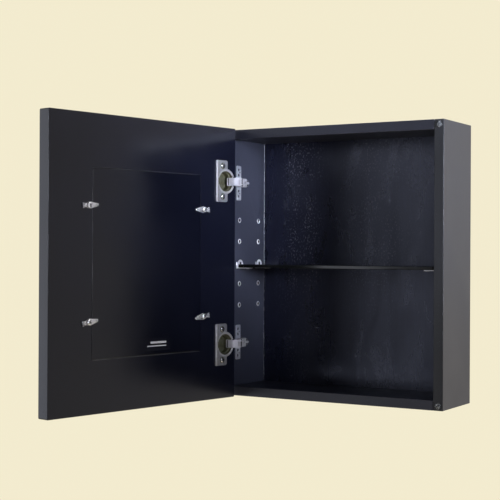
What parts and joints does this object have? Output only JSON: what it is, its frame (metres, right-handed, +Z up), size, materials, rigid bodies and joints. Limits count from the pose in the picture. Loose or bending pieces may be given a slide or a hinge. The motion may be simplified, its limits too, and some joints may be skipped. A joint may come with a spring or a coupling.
{
  "type": "wall-hung medicine cabinet with mirror door",
  "caption": "Shallow black wall cabinet: a mirror door on concealed cup hinges, a glass shelf on pins in rows of sleeved holes, and a removable door backing held by turn buttons.",
  "frame": {"origin": "centre of the hanging rail's rear face, on the wall plane, 155 mm above the cabinet's mid height", "axes": "+X to the right of a person facing the cabinet, +Y into the wall, +Z up"},
  "size_m": [0.4102, 0.4613, 0.398],
  "materials": {
    "satin_black": "satin black lacquer on fibreboard",
    "black_veneer": "black-stained fine-grained back, semi-gloss",
    "bare_wood": "unfinished pine",
    "nickel": "bright nickel plate",
    "smoked_glass": "polished smoked glass with ground edges",
    "mirror": "silvered flat mirror glass",
    "clear_rubber": "clear silicone"
  },
  "bodies": {
    "carcass": {"side_panel_left": "satin_black", "side_panel_right": "satin_black", "top_panel": "satin_black", "bottom_panel": "satin_black", "back_panel": "black_veneer", "hanging_rail": "bare_wood", "shelf_support_left_front": "nickel", "shelf_support_left_rear": "nickel", "shelf_support_right_front": "nickel", "shelf_support_right_rear": "nickel", "shelf_sleeve_left_front_1": "nickel", "shelf_sleeve_left_front_2": "nickel", "shelf_sleeve_left_front_3": "nickel", "shelf_sleeve_left_front_4": "nickel", "shelf_sleeve_left_front_5": "nickel", "shelf_sleeve_left_rear_1": "nickel", "shelf_sleeve_left_rear_2": "nickel", "shelf_sleeve_left_rear_3": "nickel", "shelf_sleeve_left_rear_4": "nickel", "shelf_sleeve_left_rear_5": "nickel", "shelf_sleeve_right_front_1": "nickel", "shelf_sleeve_right_front_2": "nickel", "shelf_sleeve_right_front_3": "nickel", "shelf_sleeve_right_front_4": "nickel", "shelf_sleeve_right_front_5": "nickel", "shelf_sleeve_right_rear_1": "nickel", "shelf_sleeve_right_rear_2": "nickel", "shelf_sleeve_right_rear_3": "nickel", "shelf_sleeve_right_rear_4": "nickel", "shelf_sleeve_right_rear_5": "nickel", "hinge_plate_upper": "nickel", "hinge_plate_lower": "nickel", "hinge_arm_upper": "nickel", "hinge_arm_lower": "nickel", "hinge_plate_screw_upper_top": "nickel", "hinge_plate_screw_upper_bottom": "nickel", "hinge_plate_screw_lower_top": "nickel", "hinge_plate_screw_lower_bottom": "nickel", "bumper_upper": "clear_rubber", "bumper_lower": "clear_rubber"},
    "door": {"door_panel": "satin_black", "backing_panel": "satin_black", "mirror": "mirror", "hinge_cup_upper": "nickel", "hinge_cup_lower": "nickel", "hinge_cup_screw_upper_top": "nickel", "hinge_cup_screw_upper_bottom": "nickel", "hinge_cup_screw_lower_top": "nickel", "hinge_cup_screw_lower_bottom": "nickel", "turn_button_screw_hinge_side_upper": "nickel", "turn_button_screw_hinge_side_lower": "nickel", "turn_button_screw_free_side_upper": "nickel", "turn_button_screw_free_side_lower": "nickel"},
    "shelf": {"shelf_glass": "smoked_glass"},
    "hinge_link_upper": {"hinge_link_upper": "nickel"},
    "hinge_link_lower": {"hinge_link_lower": "nickel"},
    "turn_button_hinge_side_upper": {"turn_button_hinge_side_upper": "nickel"},
    "turn_button_hinge_side_lower": {"turn_button_hinge_side_lower": "nickel"},
    "turn_button_free_side_upper": {"turn_button_free_side_upper": "nickel"},
    "turn_button_free_side_lower": {"turn_button_free_side_lower": "nickel"}
  },
  "joints": [
    {"name": "door_swing", "type": "hinge", "parent": "carcass", "child": "door", "pos_m": [-0.1665, -0.1231, -0.155], "axis": [0, 0, 1], "range_deg": [0, 101.2]},
    {"name": "hinge_link_upper_turn", "type": "hinge", "parent": "carcass", "child": "hinge_link_upper", "pos_m": [-0.14225, -0.1149, -0.035], "axis": [0, 0, 1], "range_deg": [-60, 0]},
    {"name": "hinge_link_lower_turn", "type": "hinge", "parent": "carcass", "child": "hinge_link_lower", "pos_m": [-0.14225, -0.1149, -0.275], "axis": [0, 0, 1], "range_deg": [-60, 0]},
    {"name": "shelf_lift", "type": "slide", "parent": "carcass", "child": "shelf", "axis": [0, 0, 1], "range_m": [0, 0.012]},
    {"name": "turn_button_hinge_side_upper_turn", "type": "hinge", "parent": "door", "child": "turn_button_hinge_side_upper", "pos_m": [-0.1607, -0.18388, -0.078], "axis": [0.981, -0.1942, 0], "continuous": true},
    {"name": "turn_button_hinge_side_lower_turn", "type": "hinge", "parent": "door", "child": "turn_button_hinge_side_lower", "pos_m": [-0.1607, -0.18388, -0.232], "axis": [0.981, -0.1942, 0], "continuous": true},
    {"name": "turn_button_free_side_upper_turn", "type": "hinge", "parent": "door", "child": "turn_button_free_side_upper", "pos_m": [-0.20265, -0.39577, -0.078], "axis": [0.981, -0.1942, 0], "continuous": true},
    {"name": "turn_button_free_side_lower_turn", "type": "hinge", "parent": "door", "child": "turn_button_free_side_lower", "pos_m": [-0.20265, -0.39577, -0.232], "axis": [0.981, -0.1942, 0], "continuous": true}
  ],
  "couplings": [
    {"joint": "hinge_link_upper_turn", "follows": "door_swing", "ratio": -0.59},
    {"joint": "hinge_link_lower_turn", "follows": "door_swing", "ratio": -0.59}
  ]
}
